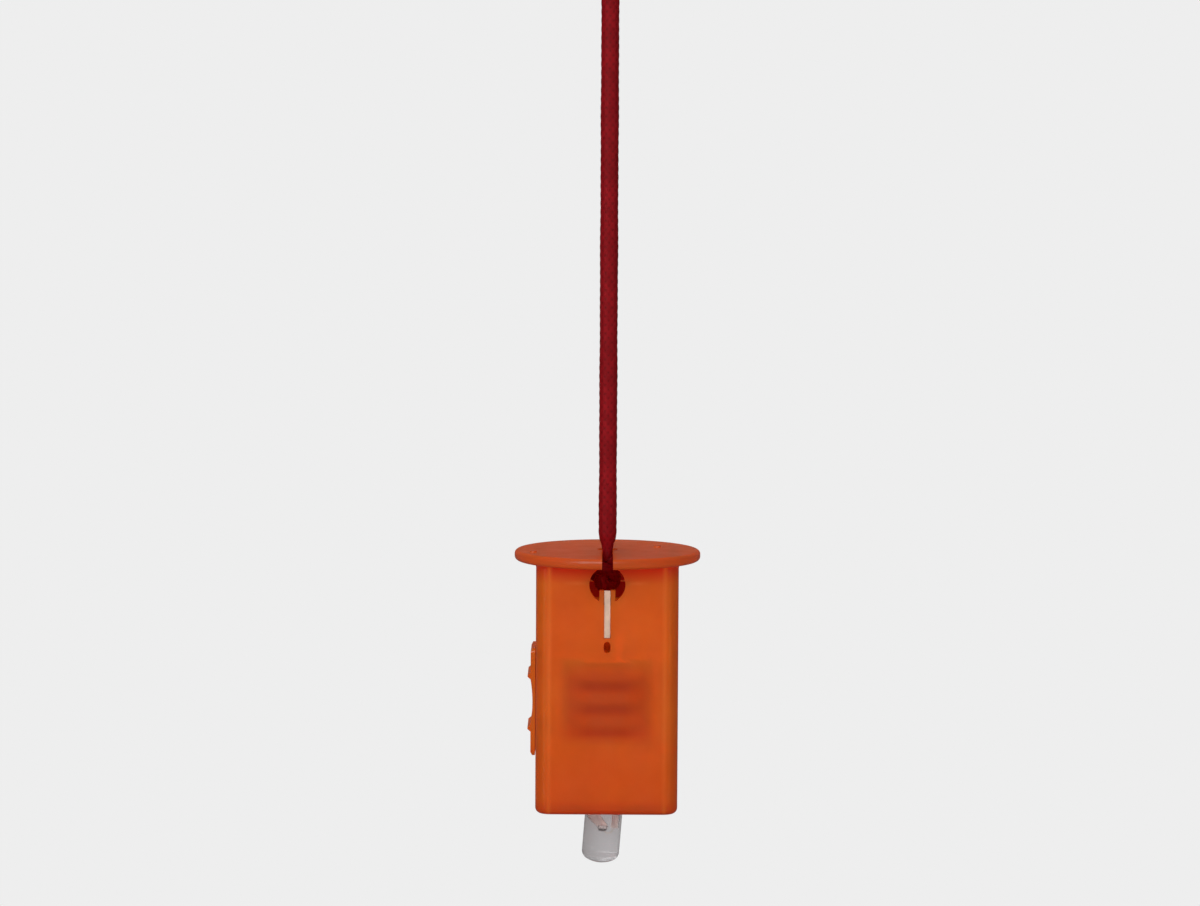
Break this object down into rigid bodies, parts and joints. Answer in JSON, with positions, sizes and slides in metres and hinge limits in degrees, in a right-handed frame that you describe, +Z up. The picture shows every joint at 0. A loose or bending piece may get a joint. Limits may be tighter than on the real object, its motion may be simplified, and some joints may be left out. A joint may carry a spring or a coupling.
{
  "type": "hanging lantern light",
  "caption": "Small battery LED light with a flanged translucent housing, side slide switch and back cover, hung on a cord with a knotted loop.",
  "frame": {"origin": "hang point: the inner top of the loop at the cord's upper end, where the hook bears", "axes": "+Z up along the cord, -Y out of the front with the knot hole, -X out of the side with the switch"},
  "size_m": [0.0248, 0.0248, 0.1547],
  "materials": {
    "orange_plastic": "moulded, translucent",
    "contact_metal": "nickel plated",
    "cell_steel": "satin",
    "cell_seal": "matte",
    "led_epoxy": "clear",
    "lead_metal": "tinned",
    "led_chip": "matte",
    "red_cord": "braided satin"
  },
  "bodies": {
    "root": {"housing": "orange_plastic", "cell_1_can": "cell_steel", "cell_1_cap": "cell_steel", "cell_1_gasket": "cell_seal", "cell_2_can": "cell_steel", "cell_2_cap": "cell_steel", "cell_2_gasket": "cell_seal", "cell_3_can": "cell_steel", "cell_3_cap": "cell_steel", "cell_3_gasket": "cell_seal", "top_contact": "contact_metal", "leaf_contact": "contact_metal", "lamp_terminal": "contact_metal", "led_lens": "led_epoxy", "led_cathode_lead": "lead_metal", "led_anode_lead": "lead_metal", "led_die": "led_chip", "anode_solder": "lead_metal", "cathode_solder": "lead_metal", "cord_line": "red_cord", "stop_knot": "red_cord", "loop_knot": "red_cord", "cord_loop": "red_cord"},
    "switch": {"switch_slider": "orange_plastic", "switch_bridge": "contact_metal"},
    "cover": {"back_cover": "orange_plastic"}
  },
  "joints": [
    {"name": "switch_slide", "type": "slide", "parent": "root", "child": "switch", "axis": [0, 0, 1], "range_m": [0, 0.0025]},
    {"name": "cover_pull", "type": "slide", "parent": "root", "child": "cover", "axis": [0, 1, 0], "range_m": [0, 0.012]}
  ]
}
